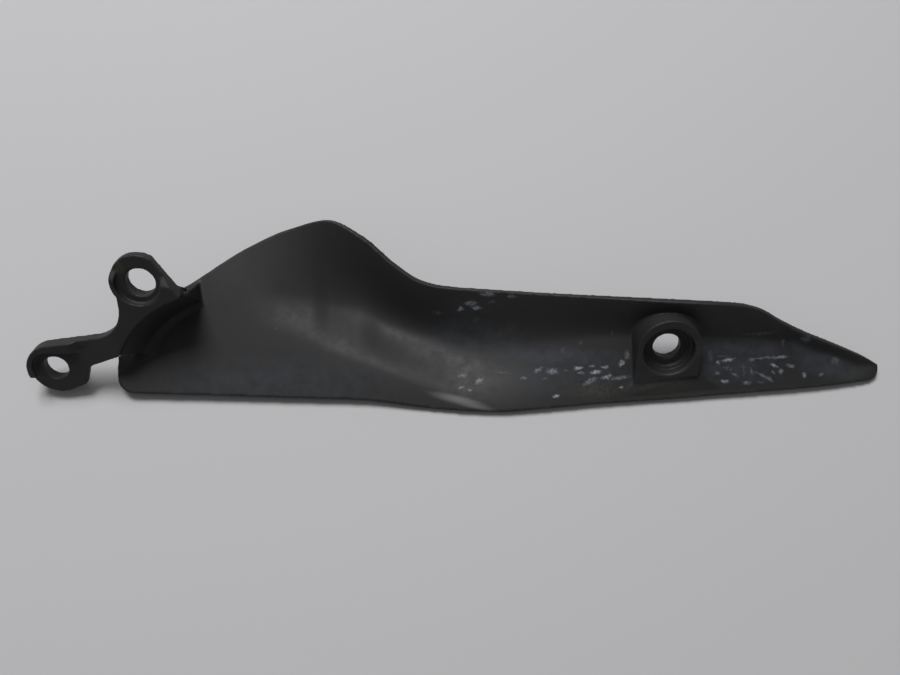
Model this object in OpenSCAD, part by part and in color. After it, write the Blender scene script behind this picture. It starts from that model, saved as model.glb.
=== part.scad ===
// Motorcycle chain guard, moulded in one piece.
// A long thin skin follows the chain run: a flat front panel folds softly into
// a trough, and the trough's far wall carries the top edge to the tail.
// A two-eyed bracket stands off the front on a drafted wall, and a recessed
// bolt boss stands on the rear part of the skin.
// The guard is drawn with its outer side facing +Z, x along its length and
// y across it, and then laid down as it rests on a floor.

/* [Skin] */
// Wall thickness of the skin
skin_t = 2.5; // [2:0.1:3.5]
// Length of the skin from its front edge to the tip of the tail
skin_len = 325; // [321:1:340]
// Height of the hump above the front bottom corner
hump_h = 74.8; // [66:0.2:82]
// Depth of the trough under the hump, below the front bottom corner
trough_depth = 12; // [7:0.5:13]
// Height of the top edge beside the rear boss, above the same corner
rear_crest = 14.5; // [12:0.5:16]
// Fall of the flat front panel, in degrees, from its bottom edge upwards
panel_fall = 5; // [2:0.5:8]
// Radius of the front bottom corner
corner_r = 7; // [4:0.5:9]
// Radius under the tip of the tail
tail_r = 4.5; // [3:0.5:5]

/* [Front bracket] */
// Thickness of the bracket's plate
bracket_t = 4; // [3:0.5:5]
// Rise of the bracket's plane and of the boss face across the guard, in degrees
bolt_tilt = 28.8; // [25:0.2:31]
// Bore of the lower front eye
lower_bore_d = 10.6; // [8:0.2:12]
// Bore of the upper front eye
upper_bore_d = 12; // [9:0.2:13]
// Outer radius of the lower eye
lower_eye_r = 11.6; // [11:0.2:13]
// Outer radius of the upper eye
upper_eye_r = 11; // [10.4:0.2:12]
// Distance from the lower to the upper bore along the guard
eye_run = 41.9; // [39:0.1:45]
// Distance from the lower to the upper bore across the guard, in the plate
eye_rise = 39.4; // [37:0.1:42]
// Height of the rims and of the neck above the floor of the eyes
rim_h = 2.5; // [1.5:0.5:3.5]
// Wall of the rims
rim_wall = 2.4; // [1.6:0.2:3]
// Height of the round pads behind the eyes
pad_h = 1.6; // [0.8:0.2:2.4]
// Width of the raised rib along the arm's top edge
rib_w = 1.8; // [1.2:0.2:2.6]
// Height of that rib
rib_h = 0.8; // [0.4:0.2:1.4]

/* [Stand-off wall] */
// Thickness of the wall between skin and bracket
wall_t = 3; // [2:0.2:4]
// Spread of the wall's foot away from the bracket, at its front end
wall_spread = 8.3; // [6:0.1:10]

/* [Rear boss] */
// Distance of the rear bolt from the front edge of the skin
boss_x = 232.4; // [224:0.2:240]
// Height of the rear bolt across the guard
boss_y = 18.7; // [17.5:0.1:20]
// Height of the boss face at the bolt, above the front bottom corner
boss_face = 7.2; // [6.6:0.2:8.6]
// Radius of the boss face around the bolt
boss_r = 13.4; // [13:0.2:14]
// Draft of the boss walls, as the growth of their radius at the foot
boss_draft = 0.9; // [0.5:0.1:1.5]
// Diameter of the recess for the bolt's head
recess_d = 21.4; // [18:0.2:22]
// Depth of that recess
recess_depth = 5.5; // [4.5:0.5:6]
// Bore of the rear bolt
rear_bore_d = 11.6; // [8:0.2:13]
// Thickness of the floor under the recess
seat_t = 4.5; // [4.5:0.5:6]

/* [Rest] */
// Turn about the length that lays the guard down
rest_pitch = 19.4; // [0:0.1:40]
// Turn about the width that lays the guard down
rest_roll = 0; // [-6:0.1:6]

/* [Hidden] */

skin_rows = 21;
skin_pitch = 4.4;
panel_rise = -tan(panel_fall);

// Bottom edge from front to tail: place along, place across, height
BOTTOM_LINE = [
    [0, 1.4, 0], [35, 0.6, 0], [77, -0.7, 0], [103, -1.5, 0], [132, -4.9, 0],
    [149, -6.1, 0.7], [162, -6.5, 0.9], [179, -5.3, 0.6], [208, -2.9, -0.4],
    [231, -1.4, -1.1], [245, -0.3, -1.3], [260, 0.9, -1.6], [282, 2.6, -2],
    [302, 4.3, -2.8], [316, 6, -3.7], [skin_len, 7, -5]
];

// Line where the flat front panel ends: place along, place across
FOLD_LINE = [
    [0, 11], [26, 25], [56, 29], [81, 23], [89, 19], [111, 11], [131, 3],
    [149, -4], [162, -5.4], [187, -4], [231, 0.3], [260, 2.4], [282, 4],
    [302, 5.6], [316, 7.2], [skin_len, 11.8]
];

// Bottom of the trough: place along, place across, height
TROUGH_LINE = [
    [0, 14, -0.5], [26, 35, -3], [56, 45, -4], [81, 43, -trough_depth * 0.6],
    [89, 41, -trough_depth * 0.8], [101, 38.5, 0.4 - trough_depth],
    [111, 33, -trough_depth], [131, 26, 2 - trough_depth],
    [149, 22, 4.5 - trough_depth], [162, 22, -5], [187, 23, -2], [208, 25, -0.6],
    [231, 25.5, 0.4], [245, 25.8, 0.6], [261, 25.5, 0.3], [282, 24, -1.2],
    [293, 20.6, -2.4], [306, 16.4, -4], [316, 12.8, -5], [skin_len, 12.6, -5]
];

// Top edge from front to tail: place along, place across, height; the hump's
// two shoulders and the rear crest's neighbours follow their summits
TOP_LINE = [
    [0, 16.7, -0.7], [22, 43, -3.7], [32, 49.6, -4.2], [53, 63.2, -5.4],
    [72, hump_h - 3.2, -4.5], [87.6, hump_h, -1], [103, hump_h - 7.5, 2],
    [116, 56.1, 3], [128, 48.3, 3], [137, 46, 3], [162, 44.2, 4.5],
    [203, 41.3, rear_crest * 0.66], [243, 38.6, rear_crest],
    [260, 37.8, rear_crest * 0.85], [268, 36.4, rear_crest * 0.69], [279.6, 30.8, 6],
    [287, 27.5, 3.6], [302, 22.2, 0.2], [317, 17, -3], [skin_len, 13.4, -5]
];

// Smooth curve through a list of points without overshoot: its slopes are
// the harmonic means of the neighbouring chords, and nought at a summit
function chord(p, i, k) = (p[i + 1][k] - p[i][k]) / (p[i + 1][0] - p[i][0]);
function slope_at(p, i, k) =
    i == 0 ? chord(p, 0, k) :
    i == len(p) - 1 ? chord(p, i - 1, k) :
    let (a = chord(p, i - 1, k), b = chord(p, i, k))
    a * b <= 0 ? 0 : 2 * a * b / (a + b);
function span_of(p, x) =
    min(len(p) - 2, max(0, len([for (q = p) if (q[0] <= x) 1]) - 1));
function curve(p, x, k = 1) =
    let (
        i = span_of(p, x),
        w = p[i + 1][0] - p[i][0],
        s = (x - p[i][0]) / w,
        m0 = slope_at(p, i, k) * w,
        m1 = slope_at(p, i + 1, k) * w
    )
    p[i][k] * (1 + 2 * s) * (1 - s) * (1 - s) + m0 * s * (1 - s) * (1 - s)
    + p[i + 1][k] * s * s * (3 - 2 * s) - m1 * s * s * (1 - s);

// Rise of the bottom edge round the front corner and under the tail's tip
function corner_rise(x) =
    x < corner_r ? corner_r - sqrt(corner_r * corner_r - pow(corner_r - x, 2)) :
    x > skin_len - tail_r
        ? tail_r - sqrt(max(0, tail_r * tail_r - pow(x - skin_len + tail_r, 2))) : 0;

// One cross-section of the outer face: four points from bottom to top edge
function section(x) =
    let (
        bottom_y = curve(BOTTOM_LINE, x) + corner_rise(x),
        bottom_z = curve(BOTTOM_LINE, x, 2),
        fold_y = max(curve(FOLD_LINE, x), bottom_y + 0.4),
        fold_z = bottom_z + panel_rise * (fold_y - bottom_y),
        trough_y = max(curve(TROUGH_LINE, x), fold_y + 0.4)
    )
    [
        [bottom_y, bottom_z], [fold_y, fold_z],
        [trough_y, curve(TROUGH_LINE, x, 2)],
        [curve(TOP_LINE, x), curve(TOP_LINE, x, 2)]
    ];

// Height of the outer face at a place
function skin_height(x, y) = curve(section(x), y);

// Places along the skin: close together round the corner and the tip
SKIN_X = concat(
    [for (a = [0:22.5:67.5]) corner_r * (1 - cos(a))],
    [for (x = [corner_r:skin_pitch:skin_len - tail_r - skin_pitch / 2]) x],
    [for (a = [0:30:90]) skin_len - tail_r * (1 - sin(a))]
);
skin_cols = len(SKIN_X);

OUTER_FACE = [
    for (x = SKIN_X)
        let (s = section(x), low = s[0][0], high = s[3][0])
        [for (j = [0:skin_rows])
            let (y = low + (high - low) * j / skin_rows) [x, y, curve(s, y)]]
];

function unit(v) = v / norm(v);
function face_normal(i, j) =
    unit(cross(
        OUTER_FACE[min(i + 1, skin_cols - 1)][j] - OUTER_FACE[max(i - 1, 0)][j],
        OUTER_FACE[i][min(j + 1, skin_rows)] - OUTER_FACE[i][max(j - 1, 0)]
    ));

// The skin: the outer face and the same face one wall deeper, closed all round
module skin() {
    row = skin_rows + 1;
    half = skin_cols * row;
    outer = [for (c = OUTER_FACE) for (p = c) p];
    inner = [
        for (i = [0:skin_cols - 1]) for (j = [0:skin_rows])
            OUTER_FACE[i][j] - skin_t * face_normal(i, j)
    ];
    front = [
        for (i = [0:skin_cols - 2]) for (j = [0:skin_rows - 1])
            let (a = i * row + j, b = a + row)
            each [[a, a + 1, b + 1], [a, b + 1, b]]
    ];
    back = [for (f = front) [half + f[0], half + f[2], half + f[1]]];
    rim = concat(
        [for (i = [0:skin_cols - 1]) i * row],
        [for (j = [1:skin_rows]) (skin_cols - 1) * row + j],
        [for (i = [skin_cols - 2:-1:0]) i * row + skin_rows],
        [for (j = [skin_rows - 1:-1:1]) j]
    );
    edge = [
        for (k = [0:len(rim) - 1])
            let (a = rim[k], b = rim[(k + 1) % len(rim)])
            each [[a, b, half + b], [a, half + b, half + a]]
    ];
    polyhedron(concat(outer, inner), concat(front, back, edge), convexity = 6);
}

// The bolts are parallel. The bracket's plane has its origin on the lower bore
// and the boss's face on its own: u along, v across, w out of the face
bracket_origin = [-23.8, 12.2, 5.2];
boss_origin = [boss_x, boss_y, boss_face];
function tilted(origin, p) =
    origin + [
        p[0],
        p[1] * cos(bolt_tilt) - p[2] * sin(bolt_tilt),
        p[1] * sin(bolt_tilt) + p[2] * cos(bolt_tilt)
    ];
module in_plane(origin) {
    translate(origin) rotate([bolt_tilt, 0, 0]) children();
}

// Points of an arc, from one angle to another
function arc(centre, r, from, to, steps) =
    [for (i = [0:steps])
        let (a = from + (to - from) * i / steps)
        centre + r * [cos(a), sin(a)]];

// Centre of the arc that bends upwards from one place to another
function bend_centre(a, b, r) =
    let (half = norm(b - a) / 2, along = (b - a) / (2 * half))
    (a + b) / 2 + [along[1], -along[0]] * sqrt(r * r - half * half);
function angle_of(p, centre) = atan2(p[1] - centre[1], p[0] - centre[0]);

// Two eyes, the first round the lower bore
lower_eye = [0.4, 0.1];
upper_bore = [eye_run, eye_rise];
upper_eye = upper_bore + [-0.7, 0.8];
eye_cut = 57;
eye_neck = 214;

// The neck's right side, which is also the top of the stand-off wall
wall_low = [28.5, 6.8];
wall_high = upper_bore + [15.6, -6];
wall_bend_r = 48;
wall_centre = bend_centre(wall_low, wall_high, wall_bend_r);
wall_from = angle_of(wall_low, wall_centre);
wall_to = angle_of(wall_high, wall_centre);
wall_steps = 12;
neck_tip = wall_high + [-1.6, 2.2];

// The arm's straight top edge, the round inner corner above it, and the
// square lug and the soft corner below it
arm_rise = 8;
arm_len = 20.5;
arm_start = lower_eye + lower_eye_r * [-sin(arm_rise), cos(arm_rise)];
neck_r = 15;
neck_bend = arm_start + arm_len * [cos(arm_rise), sin(arm_rise)]
    + neck_r * [-sin(arm_rise), cos(arm_rise)];
eye_lug = [[5.5, -10.2], [11.3, -7.9], [13.0, -2.6], [13.2, -0.9]];
arm_corner = [[15.9, 1.4], [20.2, 3.2]];
module bracket_outline() {
    translate(lower_eye) circle(r = lower_eye_r, $fn = 64);
    polygon(concat(
        [lower_eye], eye_lug, arm_corner,
        arc(wall_centre, wall_bend_r, wall_from, wall_to, wall_steps),
        [neck_tip],
        arc(upper_eye, upper_eye_r, eye_cut, eye_neck, 28),
        arc(neck_bend, neck_r, 0, arm_rise - 90, 8),
        [arm_start]
    ));
}

// Side profile of the bracket: eye floor, ramp along the arm, raised neck
ramp_start = 13;
ramp_end = 28;
bracket_reach = 80;
module bracket_profile() {
    rotate([90, 0, 0])
        linear_extrude(height = 2 * bracket_reach, center = true)
            polygon([
                [-bracket_reach, -bracket_t], [bracket_reach, -bracket_t],
                [bracket_reach, rim_h], [ramp_end, rim_h], [ramp_start, 0],
                [-bracket_reach, 0]
            ]);
}

// Rim of the lower eye: a wall on its left, a broad land along its top
land_edge = 8.2;
land_end = 8.6;
rim_foot = -3.6;
module lower_rim() {
    eye_w = 2 * lower_eye_r;
    linear_extrude(height = rim_h)
        difference() {
            intersection() {
                bracket_outline();
                translate([-eye_w, rim_foot]) square([eye_w + land_end, eye_w]);
            }
            intersection() {
                translate(lower_eye) circle(r = lower_eye_r - rim_wall, $fn = 64);
                translate([-eye_w, land_edge - 2 * eye_w]) square([2 * eye_w, 2 * eye_w]);
            }
            translate([0, land_edge - eye_w]) square([eye_w, eye_w]);
        }
}

// Bevelled end of that land, and the rib that carries on along the arm
bevel_run = 3.5;
module land_bevel() {
    depth = arm_start[1] + land_end * tan(arm_rise) - land_edge;
    translate([0, land_edge + depth, 0])
        rotate([90, 0, 0])
            linear_extrude(height = depth)
                polygon([
                    [land_end - 1, -1], [land_end + bevel_run, -1],
                    [land_end + bevel_run, 0], [land_end, rim_h],
                    [land_end - 1, rim_h]
                ]);
}
module arm_rib() {
    translate([arm_start[0], arm_start[1], -1])
        rotate([0, 0, arm_rise])
            translate([0, -rib_w, 0])
                cube([arm_len, rib_w, 1 + rib_h]);
}

// Pocket of the upper eye: round below, open to the outside above
pocket_turn = -9;
pocket_drop = 0.9;
pocket_mouth = 1.5;
module upper_pocket() {
    translate([upper_eye[0], upper_eye[1] - pocket_drop, 0])
        linear_extrude(height = rim_h + 1) {
            circle(r = upper_eye_r + 0.3 - rim_wall, $fn = 64);
            rotate([0, 0, pocket_turn])
                translate([-2 * upper_eye_r, pocket_mouth])
                    square([4 * upper_eye_r, 2 * upper_eye_r]);
        }
}

pad_inset = 2.4;
module eye_pads() {
    translate([0, 0, -bracket_t - pad_h])
        cylinder(r = lower_eye_r - pad_inset, h = pad_h + 1, $fn = 64);
    translate([upper_bore[0], upper_bore[1], -bracket_t - pad_h])
        cylinder(r = upper_eye_r - pad_inset, h = pad_h + 1, $fn = 64);
}

bore_reach = 20;
module eye_bores() {
    translate([0, 0, -bore_reach]) cylinder(d = lower_bore_d, h = 2 * bore_reach, $fn = 64);
    translate([upper_bore[0], upper_bore[1], -bore_reach])
        cylinder(d = upper_bore_d, h = 2 * bore_reach, $fn = 64);
}

module bracket() {
    in_plane(bracket_origin)
        difference() {
            union() {
                difference() {
                    intersection() {
                        translate([0, 0, -bracket_t])
                            linear_extrude(height = bracket_t + rim_h)
                                bracket_outline();
                        bracket_profile();
                    }
                    upper_pocket();
                }
                lower_rim();
                land_bevel();
                arm_rib();
                eye_pads();
            }
            eye_bores();
        }
}

// Stand-off wall: from inside the neck's right side down into the skin. Its
// foot spreads out at the front, and behind the neck it runs down to the
// skin's top edge
wall_tuck = 0.4;
wall_foot_bend_r = 38;
wall_top_w = rim_h - 1.2;
wall_foot_low = [wall_spread, 0.8];
wall_foot_high = [1.2, -1];
wall_end_run = -0.4;
wall_end_inset = 1.6;
function flat(p) = [p[0], p[1]];
function into_skin(p) = [p[0], p[1], skin_height(p[0], p[1]) - skin_t / 2];
module stand_off_wall() {
    outer_top = arc(wall_centre, wall_bend_r + wall_tuck, wall_from, wall_to, wall_steps);
    inner_top = arc(wall_centre, wall_bend_r + wall_tuck + wall_t, wall_from, wall_to, wall_steps);
    top_out = [for (p = outer_top) tilted(bracket_origin, [p[0], p[1], wall_top_w])];
    top_in = [for (p = inner_top) tilted(bracket_origin, [p[0], p[1], 0.5 - bracket_t])];
    foot_a = flat(top_out[0]) + wall_foot_low;
    foot_b = flat(top_out[wall_steps]) + wall_foot_high;
    foot_centre = bend_centre(foot_a, foot_b, wall_foot_bend_r);
    foot_from = angle_of(foot_a, foot_centre);
    foot_to = angle_of(foot_b, foot_centre);
    foot_out = arc(foot_centre, wall_foot_bend_r, foot_from, foot_to, wall_steps);
    foot_in = arc(foot_centre, wall_foot_bend_r + wall_t, foot_from, foot_to, wall_steps);
    end_x = foot_b[0] + wall_end_run;
    end_out = [end_x, curve(TOP_LINE, end_x) - wall_end_inset];
    end_in = end_out - [wall_t * 0.8, wall_t * 1.4];
    rings = concat(
        [for (i = [0:wall_steps])
            [top_out[i], into_skin(foot_out[i]), into_skin(foot_in[i]), top_in[i]]],
        [[
            into_skin(end_out) + [0, 0, skin_t], into_skin(end_out),
            into_skin(end_in), into_skin(end_in) + [0, 0, skin_t]
        ]]
    );
    count = wall_steps + 1;
    sides = [
        for (i = [0:count - 1]) for (k = [0:3])
            let (a = i * 4 + k, b = i * 4 + (k + 1) % 4)
            each [[a, a + 4, b], [a + 4, b + 4, b]]
    ];
    last = count * 4;
    ends = [
        [0, 1, 2], [0, 2, 3],
        [last, last + 2, last + 1], [last, last + 3, last + 2]
    ];
    polyhedron([for (r = rings) for (p = r) p], concat(sides, ends), convexity = 4);
}

// Rear boss: round at the top, square-shouldered at the bottom, with a flat
// round back behind the bolt
boss_rise = 1.3;
boss_low_left = -15.7;
boss_low_right = -11.2;
boss_side = 3.8;
boss_back = recess_depth + seat_t;
back_low = -8;
slice_t = 0.1;
module boss_shape(grow, low_left, low_right) {
    side = boss_r + grow;
    translate([0, boss_rise]) circle(r = side, $fn = 48);
    polygon([[-side, boss_rise], [-side, low_left], [side, low_right], [side, boss_rise]]);
}
module boss_body() {
    in_plane(boss_origin)
        hull() {
            translate([0, 0, -slice_t])
                linear_extrude(height = slice_t)
                    boss_shape(0, boss_low_left, boss_low_right);
            translate([0, 0, -boss_side])
                linear_extrude(height = slice_t)
                    boss_shape(boss_draft / 4, boss_low_left, boss_low_right);
            translate([0, 0, -boss_back])
                linear_extrude(height = slice_t)
                    boss_shape(boss_draft, back_low, back_low);
        }
}

// Fairing below the boss: a flat facet out to the bottom edge
fairing_drop_left = 0.4;
fairing_drop_right = 1.6;
fairing_left = 23;
fairing_right = 28;
fairing_tuck = 0.6;
module fairing() {
    left_x = boss_x - fairing_left;
    right_x = boss_x + fairing_right;
    left_y = section(left_x)[0][0] + fairing_tuck;
    right_y = section(right_x)[0][0] + fairing_tuck;
    facet = [
        [left_x, left_y, skin_height(left_x, left_y) - fairing_tuck],
        [right_x, right_y, skin_height(right_x, right_y) - fairing_tuck],
        tilted(boss_origin, [boss_r, boss_low_right + fairing_tuck, -fairing_drop_right]),
        tilted(boss_origin, [-boss_r, boss_low_left + fairing_tuck, -fairing_drop_left])
    ];
    foot = [for (p = facet) [p[0], p[1], skin_height(p[0], p[1]) - skin_t * 0.7]];
    polyhedron(
        concat(facet, foot),
        [
            [0, 2, 1], [0, 3, 2], [4, 5, 6], [4, 6, 7],
            [0, 1, 5], [0, 5, 4], [1, 2, 6], [1, 6, 5],
            [2, 3, 7], [2, 7, 6], [3, 0, 4], [3, 4, 7]
        ],
        convexity = 2
    );
}

// Recess for the bolt's head with a step above its floor, and the bore
recess_step = 1.2;
recess_step_w = 1.4;
recess_lip = 0.6;
module boss_cuts() {
    in_plane(boss_origin) {
        translate([0, 0, -recess_depth])
            cylinder(d = recess_d - 2 * recess_step_w, h = recess_depth, $fn = 64);
        translate([0, 0, recess_step - recess_depth])
            cylinder(d = recess_d, h = 2 * recess_depth, $fn = 64);
        translate([0, 0, -recess_lip])
            cylinder(d1 = recess_d, d2 = recess_d + 4 * recess_lip, h = 2 * recess_lip, $fn = 64);
        translate([0, 0, -bore_reach])
            cylinder(d = rear_bore_d, h = 2 * bore_reach, $fn = 64);
    }
}

// The guard lies at rest, with the rear bolt's seat at the origin
module chain_guard() {
    color([0.17, 0.17, 0.175])
        rotate([rest_pitch, rest_roll, 0])
            translate(-tilted(boss_origin, [0, 0, -boss_back]))
                union() {
                    bracket();
                    stand_off_wall();
                    difference() {
                        union() {
                            skin();
                            boss_body();
                            fairing();
                        }
                        boss_cuts();
                    }
                }
}

chain_guard();
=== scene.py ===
"""A motorcycle chain guard in scuffed black plastic, lying outer side up."""
import math
import bmesh
import bpy
from mathutils import Matrix, Vector


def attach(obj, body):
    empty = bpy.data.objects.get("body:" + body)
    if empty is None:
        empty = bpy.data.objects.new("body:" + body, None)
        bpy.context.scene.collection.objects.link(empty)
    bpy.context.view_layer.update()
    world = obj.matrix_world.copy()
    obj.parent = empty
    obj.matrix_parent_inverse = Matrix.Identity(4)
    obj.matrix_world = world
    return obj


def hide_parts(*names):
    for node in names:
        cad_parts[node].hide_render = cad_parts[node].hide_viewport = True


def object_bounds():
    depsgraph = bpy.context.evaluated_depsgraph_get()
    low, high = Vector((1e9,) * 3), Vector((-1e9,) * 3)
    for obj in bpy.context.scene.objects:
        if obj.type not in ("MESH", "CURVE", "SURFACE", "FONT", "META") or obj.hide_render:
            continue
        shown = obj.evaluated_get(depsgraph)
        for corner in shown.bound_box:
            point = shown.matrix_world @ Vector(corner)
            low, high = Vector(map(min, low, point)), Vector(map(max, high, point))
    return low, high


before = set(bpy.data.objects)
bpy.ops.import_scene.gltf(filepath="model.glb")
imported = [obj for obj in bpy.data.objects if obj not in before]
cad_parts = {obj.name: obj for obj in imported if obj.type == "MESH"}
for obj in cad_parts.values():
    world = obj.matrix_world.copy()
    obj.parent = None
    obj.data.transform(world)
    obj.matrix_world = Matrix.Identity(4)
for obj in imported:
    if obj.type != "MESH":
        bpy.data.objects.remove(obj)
cad_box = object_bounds()

# The guard's own drawing: millimetres, x along it, y across it, outer side +z
MM = 0.001
SKIN_T = 2.5
SKIN_LEN = 325
CORNER_R = 7
TAIL_R = 4.5
PANEL_RISE = -math.tan(math.radians(5))
BOLT_TILT = math.radians(28.8)
BRACKET_ORIGIN = Vector((-23.8, 12.2, 5.2))
BRACKET_T = 4
LOWER_BORE_D = 10.6
UPPER_BORE_D = 12
LOWER_EYE_R = 11.6
UPPER_EYE_R = 11
LOWER_EYE = Vector((0.4, 0.1))
UPPER_BORE = Vector((41.9, 39.4))
UPPER_EYE = UPPER_BORE + Vector((-0.7, 0.8))
RIM_H = 2.5
RIM_WALL = 2.4
PAD_H = 1.6
RIB_W = 1.8
RIB_H = 0.8
WALL_T = 3
WALL_SPREAD = 8.3
BOSS_ORIGIN = Vector((232.4, 18.7, 7.2))
BOSS_R = 13.4
BOSS_DRAFT = 0.9
RECESS_D = 21.4
RECESS_DEPTH = 5.5
REAR_BORE_D = 11.6
SEAT_T = 4.5
REST_PITCH = math.radians(19.4)
LEAST_GAP = 0.4
CREASE_SHARE = 0.8
CREASE_START = (238, 250)
CREASE_END = (280, 289)

# The parallel planes of the bracket and the boss: u along, v across, w out
TILTED = Matrix.Rotation(BOLT_TILT, 4, "X")
IN_BRACKET = Matrix.Translation(BRACKET_ORIGIN) @ TILTED
IN_BOSS = Matrix.Translation(BOSS_ORIGIN) @ TILTED

# The drawing laid down at rest, with the rear bolt's seat at the origin
SEAT = IN_BOSS @ Vector((0, 0, -RECESS_DEPTH - SEAT_T))
TO_ROW = Matrix.Scale(MM, 4) @ Matrix.Rotation(REST_PITCH, 4, "X") @ Matrix.Translation(-SEAT)

# Bottom edge, end of the flat panel, bottom of the trough, and top edge:
# place along, place across, height
BOTTOM_LINE = [
    (0, 1.4, 0), (35, 0.6, 0), (77, -0.7, 0), (103, -1.5, 0), (132, -4.9, 0),
    (149, -6.1, 0.7), (162, -6.5, 0.9), (179, -5.3, 0.6), (208, -2.9, -0.4),
    (231, -1.4, -1.1), (245, -0.3, -1.3), (260, 0.9, -1.6), (282, 2.6, -2),
    (302, 4.3, -2.8), (316, 6, -3.7), (SKIN_LEN, 7, -5),
]
FOLD_LINE = [
    (0, 11), (26, 25), (56, 29), (81, 23), (89, 19), (111, 11), (131, 3),
    (149, -4), (162, -5.4), (187, -4), (231, 0.3), (260, 2.4), (282, 4),
    (302, 5.6), (316, 7.2), (SKIN_LEN, 11.8),
]
TROUGH_LINE = [
    (0, 14, -0.5), (26, 35, -3), (56, 45, -4), (81, 43, -7.2), (89, 41, -9.6),
    (101, 38.5, -11.6), (111, 33, -12), (131, 26, -10), (149, 22, -7.5),
    (162, 22, -5), (187, 23, -2), (208, 25, -0.6), (231, 25.5, 0.4),
    (245, 25.8, 0.6), (261, 25.5, 0.3), (282, 24, -1.2), (293, 20.6, -2.4),
    (306, 16.4, -4), (316, 12.8, -5), (SKIN_LEN, 12.6, -5),
]
TOP_LINE = [
    (0, 16.7, -0.7), (22, 43, -3.7), (32, 49.6, -4.2), (53, 63.2, -5.4),
    (72, 71.6, -4.5), (87.6, 74.8, -1), (103, 67.3, 2), (116, 56.1, 3),
    (128, 48.3, 3), (137, 46, 3), (162, 44.2, 4.5), (203, 41.3, 9.6),
    (243, 38.6, 14.5), (260, 37.8, 12.3), (268, 36.4, 10), (279.6, 30.8, 6),
    (287, 27.5, 3.6), (302, 22.2, 0.2), (317, 17, -3), (SKIN_LEN, 13.4, -5),
]


def curve(points, x, k=1):
    """Smooth curve through points without overshoot, at place x."""
    def chord(i):
        return (points[i + 1][k] - points[i][k]) / (points[i + 1][0] - points[i][0])

    def slope(i):
        if i == 0:
            return chord(0)
        if i == len(points) - 1:
            return chord(i - 1)
        before, after = chord(i - 1), chord(i)
        return 0 if before * after <= 0 else 2 * before * after / (before + after)

    i = min(len(points) - 2, max(0, sum(p[0] <= x for p in points) - 1))
    width = points[i + 1][0] - points[i][0]
    s = (x - points[i][0]) / width
    return (
        points[i][k] * (1 + 2 * s) * (1 - s) ** 2 + slope(i) * width * s * (1 - s) ** 2
        + points[i + 1][k] * s * s * (3 - 2 * s) - slope(i + 1) * width * s * s * (1 - s)
    )


def corner_rise(x):
    """Rise of the bottom edge round the front corner and under the tail's tip."""
    if x < CORNER_R:
        return CORNER_R - math.sqrt(CORNER_R ** 2 - (CORNER_R - x) ** 2)
    if x > SKIN_LEN - TAIL_R:
        return TAIL_R - math.sqrt(max(0, TAIL_R ** 2 - (x - SKIN_LEN + TAIL_R) ** 2))
    return 0


def section(x):
    """Cross-section of the outer face: four points from bottom to top edge."""
    bottom_y = curve(BOTTOM_LINE, x) + corner_rise(x)
    bottom_z = curve(BOTTOM_LINE, x, 2)
    fold_y = max(curve(FOLD_LINE, x), bottom_y + LEAST_GAP)
    trough_y = max(curve(TROUGH_LINE, x), fold_y + LEAST_GAP)
    return [
        (bottom_y, bottom_z),
        (fold_y, bottom_z + PANEL_RISE * (fold_y - bottom_y)),
        (trough_y, curve(TROUGH_LINE, x, 2)),
        (curve(TOP_LINE, x), curve(TOP_LINE, x, 2)),
    ]


def soft_step(value, start, end):
    """Soft step from 0 at start to 1 at end."""
    t = min(1, max(0, (value - start) / (end - start)))
    return t * t * (3 - 2 * t)


def face_height(x, y, line):
    """Height on a cross-section, whose far wall meets the trough in a crease
    between the boss and the tail's slope."""
    height = curve(line, y)
    (trough_y, trough_z), (top_y, top_z) = line[2:]
    if y <= trough_y:
        return height
    straight = trough_z + (top_z - trough_z) * (y - trough_y) / (top_y - trough_y)
    crease = CREASE_SHARE * soft_step(x, *CREASE_START) * (1 - soft_step(x, *CREASE_END))
    return height + (straight - height) * crease


def skin_height(x, y):
    """Height of the outer face at a place."""
    return face_height(x, y, section(x))


def made(name, verts, faces):
    """A new mesh object in the drawing's millimetres, faces turned outwards."""
    bm = bmesh.new()
    corners = [bm.verts.new(tuple(v)) for v in verts]
    for face in faces:
        bm.faces.new([corners[k] for k in face])
    bmesh.ops.recalc_face_normals(bm, faces=bm.faces)
    return linked(name, bm)


def linked(name, bm):
    """The bmesh as an object in the scene."""
    mesh = bpy.data.meshes.new(name)
    bm.to_mesh(mesh)
    bm.free()
    piece = bpy.data.objects.new(name, mesh)
    bpy.context.collection.objects.link(piece)
    return piece


def hull_of(name, points):
    """The convex solid round some points."""
    bm = bmesh.new()
    for point in points:
        bm.verts.new(point)
    bmesh.ops.convex_hull(bm, input=bm.verts)
    loose = [v for v in bm.verts if not v.link_faces]
    bmesh.ops.delete(bm, geom=loose, context="VERTS")
    return linked(name, bm)


def prism(name, outline, low, high, place=Matrix()):
    """An upright prism on an outline."""
    count = len(outline)
    verts = [place @ Vector((p[0], p[1], z)) for z in (low, high) for p in outline]
    faces = [list(range(count))[::-1], [count + i for i in range(count)]]
    for i in range(count):
        j = (i + 1) % count
        faces.append([i, j, count + j, count + i])
    return made(name, verts, faces)


def box(name, low, high, place=Matrix()):
    """A box between two opposite corners."""
    outline = [(low[0], low[1]), (high[0], low[1]), (high[0], high[1]), (low[0], high[1])]
    return prism(name, outline, low[2], high[2], place)


def arc(centre, radius, start, end, steps):
    """Points of an arc; the angles are in degrees."""
    points = []
    for i in range(steps + 1):
        a = math.radians(start + (end - start) * i / steps)
        points.append(Vector(centre) + radius * Vector((math.cos(a), math.sin(a))))
    return points


def ring(centre, radius, sides=96):
    """Points of a full circle."""
    return arc(centre, radius, 0, 360 * (sides - 1) / sides, sides - 1)


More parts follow.
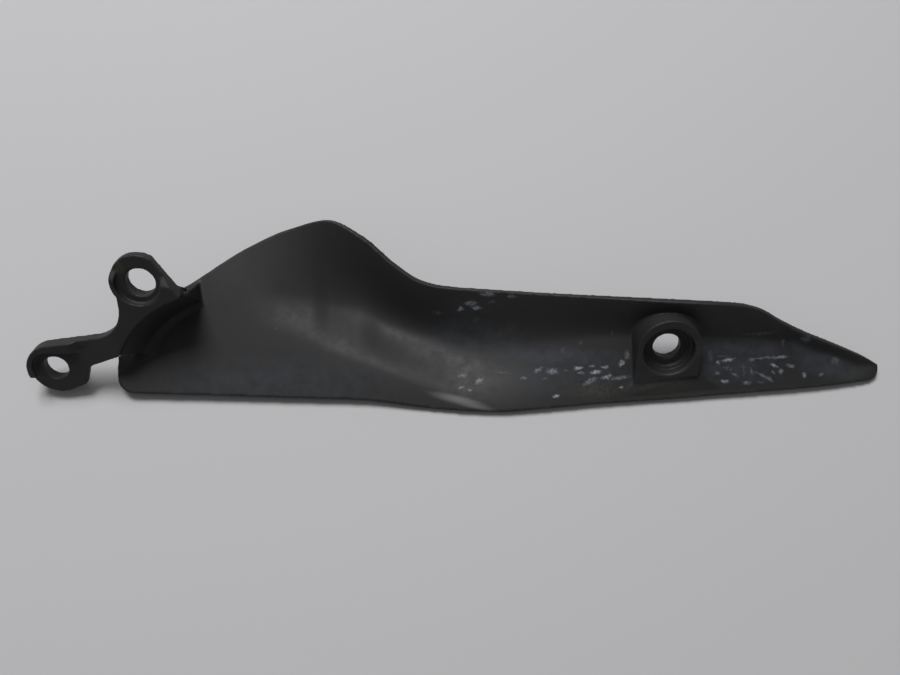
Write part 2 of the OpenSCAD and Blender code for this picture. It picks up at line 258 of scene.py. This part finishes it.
def disc(name, centre, radius, low, high, place=Matrix(), top_radius=None):
    """A round bar, or a cone where its top radius differs."""
    ends = ((radius, low), (top_radius or radius, high))
    return hull_of(name, [place @ Vector((*p, z)) for r, z in ends for p in ring(centre, r)])


def bend(start, end, radius):
    """Centre and end angles of the arc that bends upwards between two places."""
    chord = end - start
    along = chord.normalized()
    depth = math.sqrt(radius ** 2 - chord.length_squared / 4)
    centre = (start + end) / 2 + depth * Vector((along.y, -along.x))
    return centre, *[math.degrees(math.atan2(*(p - centre).yx)) for p in (start, end)]


def combine(base, others, operation):
    """Joins others to base, or cuts them from it, and removes them."""
    for other in others:
        step = base.modifiers.new(operation, "BOOLEAN")
        step.object = other
        step.operation = operation
        step.solver = "MANIFOLD"
        bake_modifiers(base)
        bpy.data.objects.remove(other)
    return base


def bake_modifiers(piece):
    """Makes the piece's modifiers part of its mesh."""
    graph = bpy.context.evaluated_depsgraph_get()
    result = bpy.data.meshes.new_from_object(piece.evaluated_get(graph))
    piece.modifiers.clear()
    piece.data = result


def make_skin():
    """The long thin skin, from its smooth outer face and one wall deeper."""
    cols = [CORNER_R * (1 - math.cos(math.radians(a))) for a in range(0, 90, 9)]
    span = SKIN_LEN - TAIL_R - CORNER_R
    steps, rows = 240, 56
    cols += [CORNER_R + span * i / steps for i in range(steps)]
    cols += [SKIN_LEN - TAIL_R * (1 - math.sin(math.radians(a))) for a in range(0, 91, 9)]
    outer = []
    for x in cols:
        line = section(x)
        low, high = line[0][0], line[3][0]
        ys = [low + (high - low) * j / rows for j in range(rows + 1)]
        outer.append([Vector((x, y, face_height(x, y, line))) for y in ys])
    inner = []
    for i in range(len(cols)):
        before, after = outer[max(i - 1, 0)], outer[min(i + 1, len(cols) - 1)]
        inner.append([])
        for j in range(rows + 1):
            along = after[j] - before[j]
            across = outer[i][min(j + 1, rows)] - outer[i][max(j - 1, 0)]
            deeper = outer[i][j] - SKIN_T * along.cross(across).normalized()
            deeper.x = min(max(deeper.x, 0), SKIN_LEN)
            inner[i].append(deeper)
    verts = [p for col in outer + inner for p in col]
    width = rows + 1
    half = len(cols) * width
    faces = []
    for i in range(len(cols) - 1):
        for j in range(rows):
            a = i * width + j
            quad = [a, a + width, a + width + 1, a + 1]
            faces.append(quad)
            faces.append([half + v for v in reversed(quad)])
    rim = [i * width for i in range(len(cols))]
    rim += [(len(cols) - 1) * width + j for j in range(1, width)]
    rim += [i * width + rows for i in range(len(cols) - 2, -1, -1)]
    rim += [j for j in range(rows - 1, 0, -1)]
    for a, b in zip(rim, rim[1:] + rim[:1]):
        faces.append([b, a, half + a, half + b])
    return made("skin", verts, faces)


# The bracket's outline: the neck's right side is the stand-off wall's top
WALL_LOW = Vector((28.5, 6.8))
WALL_HIGH = UPPER_BORE + Vector((15.6, -6))
WALL_BEND_R = 48
ARM_RISE = 8
ARM_LEN = 20.5
ARM_WAY = Matrix.Rotation(math.radians(ARM_RISE), 2)
ARM_START = LOWER_EYE + ARM_WAY @ Vector((0, LOWER_EYE_R))
NECK_R = 15
FAR = 40


def bracket_outline():
    """The bracket from its lower eye round the neck, without the eye's disc."""
    outline = [LOWER_EYE, (5.5, -10.2), (11.3, -7.9), (13.0, -2.6), (13.2, -0.9)]
    outline += [(15.9, 1.4), (20.2, 3.2)]
    outline += arc(*side_arc(), 24)
    outline += [WALL_HIGH + Vector((-1.6, 2.2))]
    outline += arc(UPPER_EYE, UPPER_EYE_R, 57, 214, 48)
    neck_bend = ARM_START + ARM_WAY @ Vector((ARM_LEN, NECK_R))
    outline += arc(neck_bend, NECK_R, 0, ARM_RISE - 90, 24)
    return outline + [ARM_START]


def side_arc(out=0.0):
    """The neck's right side as an arc, moved outwards."""
    centre, start, end = bend(WALL_LOW, WALL_HIGH, WALL_BEND_R)
    return centre, WALL_BEND_R + out, start, end


def make_lower_rim():
    """The wall on the lower eye's left and the broad land along its top."""
    land_edge, land_end, foot, bevel_run = 8.2, 8.6, -3.6, 3.5
    rim = prism("lower_rim", bracket_outline(), -1, RIM_H)
    combine(rim, [disc("eye_edge", LOWER_EYE, LOWER_EYE_R, -1, RIM_H)], "UNION")
    combine(rim, [box("rim_end", (-FAR, foot, -2), (land_end, FAR, FAR))], "INTERSECT")
    floor = disc("eye_floor", LOWER_EYE, LOWER_EYE_R - RIM_WALL, -2, FAR)
    combine(floor, [box("floor_top", (-FAR, -FAR, -3), (FAR, land_edge, FAR))], "INTERSECT")
    corner = box("land_side", (0, -FAR, -2), (FAR, land_edge, FAR))
    combine(rim, [floor, corner], "DIFFERENCE")
    run = land_end + bevel_run
    top = ARM_START.y + land_end * math.tan(math.radians(ARM_RISE))
    bevel = [(land_end - 1, -1), (run, -1), (run, 0), (land_end, RIM_H), (land_end - 1, RIM_H)]
    slope = hull_of("land_bevel", [(x, y, z) for y in (land_edge, top) for x, z in bevel])
    return combine(rim, [slope], "UNION")


def make_bracket():
    """Both eyes, the arm and the neck, with rims, rib, pads and bores."""
    ramp_foot, ramp_head = 13, 28
    mouth_turn, mouth_slope = -9, 4.2
    pocket_drop, pocket_gain, pad_inset = 0.9, 0.3, 2.4
    plate = prism("bracket", bracket_outline(), -BRACKET_T, RIM_H)
    combine(plate, [disc("lower_disc", LOWER_EYE, LOWER_EYE_R, -BRACKET_T, RIM_H)], "UNION")
    ramp = [(-FAR, 0), (ramp_foot, 0), (ramp_head, RIM_H), (ramp_head, FAR), (-FAR, FAR)]
    across = Matrix.Rotation(math.radians(90), 4, "X")
    pocket = Matrix.Translation((UPPER_EYE.x, UPPER_EYE.y - pocket_drop, 0))
    turned = pocket @ Matrix.Rotation(math.radians(mouth_turn), 4, "Z")
    pocket_r = UPPER_EYE_R + pocket_gain - RIM_WALL
    mouth = [(mouth_slope, 0), (0, RIM_H + 0.5), (0, FAR), (FAR, FAR), (FAR, 0)]
    combine(plate, [
        prism("ramp_cut", ramp, -2 * FAR, 2 * FAR, across),
        disc("pocket_cut", (0, 0), pocket_r, 0, FAR, pocket),
        hull_of("mouth_cut", [turned @ Vector((u, v, w)) for u in (-FAR, FAR) for v, w in mouth]),
    ], "DIFFERENCE")
    arm = Matrix.Translation((*ARM_START, 0)) @ ARM_WAY.to_4x4()
    combine(plate, [
        make_lower_rim(),
        box("arm_rib", (0, -RIB_W, -1), (ARM_LEN, 0, RIB_H), arm),
        disc("lower_pad", (0, 0), LOWER_EYE_R - pad_inset, -BRACKET_T - PAD_H, -1),
        disc("upper_pad", UPPER_BORE, UPPER_EYE_R - pad_inset, -BRACKET_T - PAD_H, -1),
    ], "UNION")
    combine(plate, [
        disc("lower_bore", (0, 0), LOWER_BORE_D / 2, -FAR, FAR),
        disc("upper_bore", UPPER_BORE, UPPER_BORE_D / 2, -FAR, FAR),
    ], "DIFFERENCE")
    plate.data.transform(IN_BRACKET)
    return plate


def into_skin(place, out=0.0):
    """A place in the middle of the skin's wall."""
    return Vector((*place, skin_height(*place) - SKIN_T / 2 + out))


def make_stand_off_wall():
    """The wall from the neck's right side down into the skin."""
    tuck, steps, foot_r, fillet = 0.4, 36, 38, 2.6
    top_sink, back_lift = 1.2, 0.5
    tops = [IN_BRACKET @ Vector((*p, RIM_H - top_sink)) for p in arc(*side_arc(tuck), steps)]
    backs = [IN_BRACKET @ Vector((*p, back_lift - BRACKET_T))
             for p in arc(*side_arc(tuck + WALL_T), steps)]
    foot_low = tops[0].xy + Vector((WALL_SPREAD, 0.8))
    foot_high = tops[-1].xy + Vector((1.2, -1))
    centre, start, end = bend(foot_low, foot_high, foot_r)
    feet = arc(centre, foot_r, start, end, steps)
    heels = arc(centre, foot_r + WALL_T, start, end, steps)
    rings = []
    for top, foot, heel, back in zip(tops, feet, heels, backs):
        base = into_skin(foot, SKIN_T / 2)
        knee = base + (top - base).normalized() * fillet
        toe = into_skin(foot + (centre - foot).normalized() * fillet, SKIN_T / 4)
        rings.append([top, knee, toe, into_skin(foot), into_skin(heel), back])
    # The upper end dies into the skin close under its top edge
    end_x = foot_high.x - 1.3
    tip = Vector((end_x, curve(TOP_LINE, end_x) - 1.6))
    heel = tip - Vector((WALL_T * 0.8, WALL_T * 1.4))
    toe = tip + Vector((fillet, -fillet))
    rings.append([
        into_skin(tip, SKIN_T * 0.7), into_skin(tip, SKIN_T * 0.6), into_skin(toe, SKIN_T / 4),
        into_skin(tip), into_skin(heel), into_skin(heel, SKIN_T / 2),
    ])
    wide = len(rings[0])
    last = wide * (steps + 1)
    faces = []
    for k in range(1, wide - 1):
        faces += [[0, k, k + 1], [last, last + k + 1, last + k]]
    for i in range(steps + 1):
        for k in range(wide):
            a, b = i * wide + k, i * wide + (k + 1) % wide
            faces += [[a, a + wide, b], [a + wide, b + wide, b]]
    return made("stand_off_wall", [p for corners in rings for p in corners], faces)


# The lower corners of the boss, left and right, at its face and at its back
BOSS_LOW = (-15.7, -11.2)
BOSS_BACK_LOW = (-8, -8)
BOSS_SHOULDER = 1.3
BOSS_SIDE = 3.8
# The facet at the boss's foot: its ends, and how far its corners lie below the face
FACET_LEFT, FACET_RIGHT = -23, 28
FACET_DROP_LEFT, FACET_DROP_RIGHT = 0.4, 1.6


def boss_slice(grow, lows, w):
    """Round above, square-shouldered below, at one depth under the face."""
    side = BOSS_R + grow
    points = ring((0, BOSS_SHOULDER), side)
    points += [(-side, BOSS_SHOULDER), (-side, lows[0]), (side, lows[1]), (side, BOSS_SHOULDER)]
    return [IN_BOSS @ Vector((p[0], p[1], w)) for p in points]


def make_fairing():
    """The facet that spreads the boss's lower wall along the bottom edge."""
    tuck = 0.6
    facet = []
    for x in (BOSS_ORIGIN.x + FACET_LEFT, BOSS_ORIGIN.x + FACET_RIGHT):
        y = section(x)[0][0] + tuck
        facet.append(Vector((x, y, skin_height(x, y) - tuck)))
    facet.append(IN_BOSS @ Vector((BOSS_R, BOSS_LOW[1] + tuck, -FACET_DROP_RIGHT)))
    facet.append(IN_BOSS @ Vector((-BOSS_R, BOSS_LOW[0] + tuck, -FACET_DROP_LEFT)))
    foot = [Vector((p.x, p.y, skin_height(p.x, p.y) - SKIN_T * 0.7)) for p in facet]
    faces = [[0, 2, 1], [0, 3, 2], [4, 5, 6], [4, 6, 7]]
    for a in range(4):
        b = (a + 1) % 4
        faces += [[a, b, 4 + b], [a, 4 + b, 4 + a]]
    return made("fairing", facet + foot, faces)


def make_boss(skin):
    """The boss and its fairing on the skin, with its recess and bore."""
    slices = boss_slice(0, BOSS_LOW, 0) + boss_slice(BOSS_DRAFT / 4, BOSS_LOW, -BOSS_SIDE)
    slices += boss_slice(BOSS_DRAFT, BOSS_BACK_LOW, -RECESS_DEPTH - SEAT_T)
    combine(skin, [hull_of("boss", slices), make_fairing()], "UNION")
    recess_r = RECESS_D / 2
    step, lip = 1.4, 1.2
    middle = (0, 0)
    combine(skin, [
        disc("recess_floor", middle, recess_r - step, -RECESS_DEPTH, 0, IN_BOSS),
        disc("recess", middle, recess_r, lip - RECESS_DEPTH, RECESS_DEPTH, IN_BOSS),
        disc("lip", middle, recess_r, -lip / 2, lip / 2, IN_BOSS, recess_r + lip),
        disc("rear_bore", middle, REAR_BORE_D / 2, -FAR / 2, FAR / 2, IN_BOSS),
    ], "DIFFERENCE")
    return skin


def make_guard():
    """The whole moulding in one skin, with its edges softly rounded."""
    guard = make_boss(make_skin())
    guard.name = "guard"
    combine(guard, [make_bracket(), make_stand_off_wall()], "UNION")
    fuse = guard.modifiers.new("fuse", "REMESH")
    fuse.mode = "VOXEL"
    fuse.voxel_size = 0.45
    soften = guard.modifiers.new("soften", "SMOOTH")
    soften.factor = 0.5
    soften.iterations = 5
    lighten = guard.modifiers.new("lighten", "DECIMATE")
    lighten.ratio = 0.36
    bake_modifiers(guard)
    guard.data.transform(TO_ROW)
    guard.data.shade_smooth()
    print("guard triangles", sum(len(p.vertices) - 2 for p in guard.data.polygons))
    return guard


def node(tree, kind, **values):
    """A shader node with its properties and inputs set, or linked, by name."""
    made_node = tree.nodes.new(kind)
    for key, value in values.items():
        if hasattr(made_node, key):
            setattr(made_node, key, value)
            continue
        name = int(key[1:]) if key[1:].isdigit() else key.replace("_", " ")
        socket = made_node.inputs[name]
        if isinstance(value, bpy.types.NodeSocket):
            tree.links.new(value, socket)
        else:
            socket.default_value = value
    return made_node


def math_node(tree, operation, a, b=0.0, clamp=False):
    """One step of arithmetic on values."""
    step = node(tree, "ShaderNodeMath", operation=operation, i0=a, i1=b)
    step.use_clamp = clamp
    return step.outputs[0]


def mixed(tree, factor, a, b):
    """Colour a turning into colour b."""
    mix = tree.nodes.new("ShaderNodeMix")
    mix.data_type = "RGBA"
    for socket, value in ((mix.inputs[0], factor), (mix.inputs[6], a), (mix.inputs[7], b)):
        if isinstance(value, bpy.types.NodeSocket):
            tree.links.new(value, socket)
        else:
            socket.default_value = value
    return mix.outputs[2]


def spot_group():
    """Mask of a soft oval patch: 1 inside, 0 outside, in drawing millimetres."""
    group = bpy.data.node_groups.new("soft_oval", "ShaderNodeTree")
    for name, kind in (("Place", "NodeSocketVector"), ("Centre", "NodeSocketVector"),
                       ("Half Size", "NodeSocketVector"), ("Turn", "NodeSocketFloat")):
        group.interface.new_socket(name, in_out="INPUT", socket_type=kind)
    group.interface.new_socket("Mask", in_out="OUTPUT", socket_type="NodeSocketFloat")
    ends = group.nodes.new("NodeGroupInput"), group.nodes.new("NodeGroupOutput")
    place, centre, half, turn = ends[0].outputs[:4]
    away = node(group, "ShaderNodeVectorMath", operation="SUBTRACT", i0=place, i1=centre)
    turned = node(group, "ShaderNodeVectorRotate", rotation_type="Z_AXIS",
                  Vector=away.outputs[0], Angle=turn)
    scaled = node(group, "ShaderNodeVectorMath", operation="DIVIDE", i0=turned.outputs[0], i1=half)
    reach = node(group, "ShaderNodeVectorMath", operation="LENGTH", i0=scaled.outputs[0])
    mask = node(group, "ShaderNodeMapRange", interpolation_type="SMOOTHSTEP",
                Value=reach.outputs[1], From_Min=0.1, From_Max=1.1, To_Min=1.0, To_Max=0.0)
    group.links.new(mask.outputs[0], ends[1].inputs[0])
    return group


def patches(tree, place, group, ovals):
    """The strongest of several soft ovals: centre, half size, turn, strength."""
    total = None
    for x, y, half_x, half_y, turn, strength in ovals:
        spot = tree.nodes.new("ShaderNodeGroup")
        spot.node_tree = group
        tree.links.new(place, spot.inputs["Place"])
        spot.inputs["Centre"].default_value = (x, y, 0)
        spot.inputs["Half Size"].default_value = (half_x, half_y, 400)
        spot.inputs["Turn"].default_value = math.radians(-turn)
        mask = math_node(tree, "MULTIPLY", spot.outputs[0], strength)
        total = mask if total is None else math_node(tree, "MAXIMUM", total, mask)
    return total


def broken(tree, mask, noise, low, high):
    """A mask broken up by noise: the weaker it is, the less of it is left."""
    share = node(tree, "ShaderNodeMapRange", Value=noise, From_Min=low, From_Max=high,
                 To_Min=0.3, To_Max=1.3).outputs[0]
    level = math_node(tree, "MULTIPLY", mask, share)
    return node(tree, "ShaderNodeMapRange", Value=level, From_Min=0.12, From_Max=1.05).outputs[0]


# Marks and painted light on the outer side, as soft ovals in drawing millimetres: centre, half
# size, turn in degrees, strength. The single scuffs run from the hump to the tail
WHITE_SCUFFS = [
    (156.7, 43.3, 5, 1.4, -4, 0.8), (166.7, 42.1, 4, 1.2, -4, 0.55),
    (158.3, 39.8, 2.5, 1.1, 20, 0.5), (150, 39.6, 4.4, 1.7, 0, 0.85),
    (145.5, 37, 2.2, 1.8, 20, 0.9), (151.9, 37.6, 4, 1.4, -6, 0.85),
    (135, 35.7, 5, 2, 0, 0.35), (151.9, 32.4, 4, 1.2, 20, 0.3),
    (146.2, 8.7, 2.8, 1.4, 12, 0.8), (153.3, 6.4, 2.9, 1.7, 30, 0.9),
    (145.5, 3.5, 1.9, 0.9, 0, 0.9), (149.8, 2.5, 1.8, 0.8, 0, 0.8),
    (163.8, 10, 6, 0.8, -8, 0.4), (172.3, 7.8, 2.6, 1, -15, 0.6),
    (178.8, 11.3, 3.2, 1.2, 30, 0.75), (184.6, 10.7, 4.2, 2.2, 4, 0.8),
    (181, 7.5, 2, 1, 20, 0.5), (190.5, 11, 1.8, 1.2, 0, 0.45),
    (185.9, -0.1, 2, 1.2, 0, 1.2), (195.4, 12, 3, 1.0, 8, 1.2),
    (196.7, 9.9, 2.6, 0.9, 0, 0.9), (202.9, 10.3, 3.4, 1.2, 5, 1.2),
    (206.8, 12.4, 2.2, 1.1, 0, 1.2), (201.3, 12.9, 2.6, 0.9, 10, 0.7),
    (207.5, 8.4, 3.6, 1.4, 20, 1.1), (200.3, 6.4, 5, 1.7, 26, 0.8),
    (213.7, 13.9, 2.4, 1.6, 50, 1.1), (216, 17.5, 2, 3.6, 0, 0.7),
    (213, 7.8, 6.5, 1.5, 10, 0.7), (209.8, 27, 0.8, 1.4, 0, 0.55),
    (196.6, 22.7, 1.6, 1.6, 0, 0.4), (189.2, 19.3, 1.8, 3.4, 0, 0.36),
    (213.7, 3.8, 1.5, 0.8, -10, 0.8), (258.9, 15.4, 5, 1.2, 8, 0.95),
    (254.9, 14.4, 1.6, 1.6, 0, 0.9), (257.7, 17, 4.6, 0.8, 0, 0.5),
    (258.9, 12, 4.8, 0.9, -18, 0.45), (275, 16.4, 12, 1, 4, 0.6),
    (281.9, 16.6, 5.4, 1.1, 6, 0.85), (269.4, 15.7, 2.6, 1.2, 0, 0.65),
    (279.2, 13, 2.8, 1, -20, 1.0), (281.9, 10.7, 1.5, 1.6, 20, 0.9),
    (278.9, 10.4, 1.2, 1.8, 20, 0.7), (286.2, 12.9, 3.6, 1.2, -10, 0.75),
    (266, 11.2, 1, 4, 0, 0.5), (269.5, 10.5, 1, 3.6, 16, 0.5),
    (262.5, 9.2, 3.4, 1, -35, 0.5), (275, 8.4, 7, 1.2, -28, 0.75),
    (257.7, 6.2, 3, 1.3, -10, 1.0), (267.4, 5.7, 3, 1.1, 0, 0.8),
    (273.5, 5.8, 2.4, 0.9, 0, 0.45), (254.6, 9.8, 1.8, 1.2, 0, 0.6),
    (292.4, 9.1, 1.7, 1.7, 0, 0.9), (299.6, 9.1, 1.8, 1, 0, 0.65),
    (306, 15.4, 3, 2.6, 0, 0.5), (291.6, 24.2, 4, 2, -25, 0.6),
    (282.6, 23, 1, 3.6, 14, 0.5), (272, 26.6, 13, 0.9, 4, 0.42),
    (251.6, 17, 2.4, 6, 0, 0.34), (16.5, 44.5, 1.4, 0.9, 0, 0.7),
    (28, 52, 0.7, 0.9, 0, 0.6),
]
# Broad films of bluish dust; the long film over the front panel is painted light, lightening the
# panel against the darker hump
DUST_AND_PAINTED_LIGHT = [
    (186, 17, 44, 7, -3, 0.8), (150, 26, 34, 12, 0, 0.5), (190, 8, 50, 12, 0, 0.55),
    # painted light: the oval at 66, 6 lightens the whole front panel, as if it were lit more than
    # the hump
    (266, 12, 26, 9, -4, 0.85), (302, 13, 20, 8, -14, 0.8), (66, 6, 84, 17, 0, 0.55),
    (150, 38, 26, 8, 0, 0.35), (290, 21, 9, 6, -30, 0.6),
    (262, 20, 30, 6, -2, 1.0),
]
# A painted highlight: a pale streak along the swell's lower edge, where the surface is also made
# smoother
PAINTED_HIGHLIGHT = [(144.5, -1.5, 15, 2.2, -13, 0.85), (150, -3.6, 12, 1.6, -12, 0.7)]
# Brownish and greenish dirt; the oval under the boss is painted bounce light, lightening the
# fairing facet
DIRT_AND_BOUNCE_LIGHT = [
    (203, 2.5, 17, 5, 4, 0.9), (163, 27, 6, 2.4, 35, 0.6), (10.6, 53.5, 2.6, 5, 20, 1.2),
    # painted bounce light: the oval at 232, 4 lightens the fairing facet under the boss
    (33, 49, 2.6, 2.6, 0, 1.2), (232, 4, 24, 5, 3, 0.5), (-33, 7, 3, 9, 0, 0.9),
    (1, 12, 3, 3, 0, 0.6),
]


# Colours of the plastic from its darkest to its lightest, and of the marks and painted light on it
PLASTIC_DARK = (0.0155, 0.0155, 0.016, 1)
PLASTIC_LIGHT = (0.0205, 0.0205, 0.021, 1)
DIRT_AND_BOUNCE_COLOUR = (0.042, 0.038, 0.025, 1)
DUST_AND_LIGHT_COLOUR = (0.042, 0.049, 0.063, 1)
PAINTED_HIGHLIGHT_COLOUR = (0.13, 0.13, 0.127, 1)
SCUFF_COLOUR = (0.27, 0.285, 0.335, 1)


def plastic():
    """Black moulded plastic: fine grain, dust in the trough with a painted lighter front panel,
    dirt with painted bounce light on the fairing, a painted highlight streak, pale scuffs.
    """
    material = bpy.data.materials.new("scuffed_black_plastic")
    material.use_nodes = True
    tree = material.node_tree
    shader = tree.nodes["Principled BSDF"]
    shader.inputs["Specular IOR Level"].default_value = 0.3
    spots = spot_group()
    where = node(tree, "ShaderNodeTexCoord").outputs["Object"]
    place = node(tree, "ShaderNodeMapping", Vector=where, Location=tuple(SEAT),
                 Rotation=(-REST_PITCH, 0, 0), Scale=(1 / MM, 1 / MM, 1 / MM)).outputs[0]
    cloud = node(tree, "ShaderNodeTexNoise", Vector=place, Scale=0.035, Detail=5.0).outputs[0]
    mottle = node(tree, "ShaderNodeTexNoise", Vector=place, Scale=0.2, Detail=6.0,
                  Roughness=0.65).outputs[0]
    grain = node(tree, "ShaderNodeTexNoise", Vector=place, Scale=2.6, Detail=3.0).outputs[0]
    fleck = node(tree, "ShaderNodeTexNoise", Vector=place, Scale=0.8, Detail=7.0,
                 Roughness=0.72).outputs[0]
    wander = node(tree, "ShaderNodeTexNoise", Vector=place, Scale=0.6, Detail=5.0).outputs[1]
    offset = node(tree, "ShaderNodeVectorMath", operation="SUBTRACT", i0=wander,
                  i1=(0.5, 0.5, 0.5)).outputs[0]
    offset = node(tree, "ShaderNodeVectorMath", operation="MULTIPLY", i0=offset,
                  i1=(3.2, 2.4, 0)).outputs[0]
    ragged = node(tree, "ShaderNodeVectorMath", operation="ADD", i0=place, i1=offset).outputs[0]

    # Dust films, which also paint the front panel lighter than the hump
    dust_and_light = broken(tree, patches(tree, place, spots, DUST_AND_PAINTED_LIGHT), mottle, 0.33, 0.62)
    # The painted highlight streak along the swell's lower edge
    highlight_streak = patches(tree, place, spots, PAINTED_HIGHLIGHT)
    # Dirt, which also paints bounce light onto the fairing facet
    dirt_and_bounce = broken(tree, patches(tree, ragged, spots, DIRT_AND_BOUNCE_LIGHT), fleck, 0.38, 0.6)
    scuff = broken(tree, patches(tree, ragged, spots, WHITE_SCUFFS), fleck, 0.3, 0.7)
    scuff = math_node(tree, "POWER", scuff, 1.5)

    dark = mixed(tree, cloud, PLASTIC_DARK, PLASTIC_LIGHT)
    # Dirt and the painted bounce light on the fairing
    soiled_and_lit = mixed(tree, math_node(tree, "MULTIPLY", dirt_and_bounce, 0.75), dark, DIRT_AND_BOUNCE_COLOUR)
    # Dust and the painted lighter front panel
    dusted_and_lit = mixed(tree, math_node(tree, "MULTIPLY", dust_and_light, 0.55), soiled_and_lit, DUST_AND_LIGHT_COLOUR)
    # Paints the highlight streak over the rest
    highlighted = mixed(tree, highlight_streak, dusted_and_lit, PAINTED_HIGHLIGHT_COLOUR)
    worn = mixed(tree, scuff, highlighted, SCUFF_COLOUR)
    tree.links.new(worn, shader.inputs["Base Color"])
    rough = node(tree, "ShaderNodeMapRange", Value=mottle, From_Min=0.3, From_Max=0.7,
                 To_Min=0.48, To_Max=0.62).outputs[0]
    rough = math_node(tree, "ADD", rough, math_node(tree, "MULTIPLY", scuff, 0.15), True)
    rough = math_node(tree, "SUBTRACT", rough, math_node(tree, "MULTIPLY", highlight_streak, 0.2), True)
    tree.links.new(rough, shader.inputs["Roughness"])
    bump_height = math_node(tree, "ADD", math_node(tree, "MULTIPLY", grain, 0.5),
                            math_node(tree, "MULTIPLY", scuff, 0.6))
    bump = node(tree, "ShaderNodeBump", Height=bump_height, Strength=0.25, Distance=0.0001)
    tree.links.new(bump.outputs[0], shader.inputs["Normal"])
    return material


def bench_material():
    """Pale plain paint under the guard."""
    material = bpy.data.materials.new("pale_bench")
    material.use_nodes = True
    shader = material.node_tree.nodes["Principled BSDF"]
    shader.inputs["Base Color"].default_value = (0.46, 0.46, 0.47, 1)
    shader.inputs["Roughness"].default_value = 0.8
    return material


def make_floor(height):
    """A plain pale surface under the guard."""
    floor = made("floor", [(-3, -3, height), (3, -3, height), (3, 3, height), (-3, 3, height)],
                 [[0, 1, 2, 3]])
    floor.data.materials.append(bench_material())


def soft_lamp(name, place, size, power):
    """A square lamp that faces the middle of the guard."""
    lamp = bpy.data.lights.new(name, "AREA")
    lamp.size = size
    lamp.energy = power
    holder = bpy.data.objects.new(name, lamp)
    holder.location = place
    aim = Vector((-0.07, 0, 0)) - Vector(place)
    holder.rotation_euler = aim.to_track_quat("-Z", "Y").to_euler()
    bpy.context.collection.objects.link(holder)


def light_the_studio():
    """A soft lamp high up behind the guard, a weak one above it, and a dim room."""
    soft_lamp("window", (-0.4, 0.8, 1.55), 0.75, 30)
    soft_lamp("ceiling", (0.1, 0.1, 1.7), 1.2, 1.6)
    world = bpy.data.worlds.new("room")
    world.use_nodes = True
    back = world.node_tree.nodes["Background"]
    back.inputs["Color"].default_value = (1, 1, 1, 1)
    back.inputs["Strength"].default_value = 0.16
    bpy.context.scene.world = world


# The camera's place over the drawing, in its millimetres
CAMERA_PLACE = Vector((141, 25, 371))


def place_camera():
    """The camera looks straight at the drawing's outer side, as in the photograph."""
    camera = bpy.data.cameras.new("camera")
    camera.lens = 35
    camera.sensor_width = 36
    camera.clip_start = 0.01
    holder = bpy.data.objects.new("camera", camera)
    holder.location = TO_ROW @ CAMERA_PLACE
    holder.rotation_euler = (REST_PITCH, 0, 0)
    bpy.context.collection.objects.link(holder)
    bpy.context.scene.camera = holder


place_camera()
guard = make_guard()
guard.data.materials.clear()
guard.data.materials.append(plastic())
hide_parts("chain_guard")
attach(guard, "root")
make_floor(cad_box[0][2])
light_the_studio()
bpy.context.scene.view_settings.view_transform = "Standard"
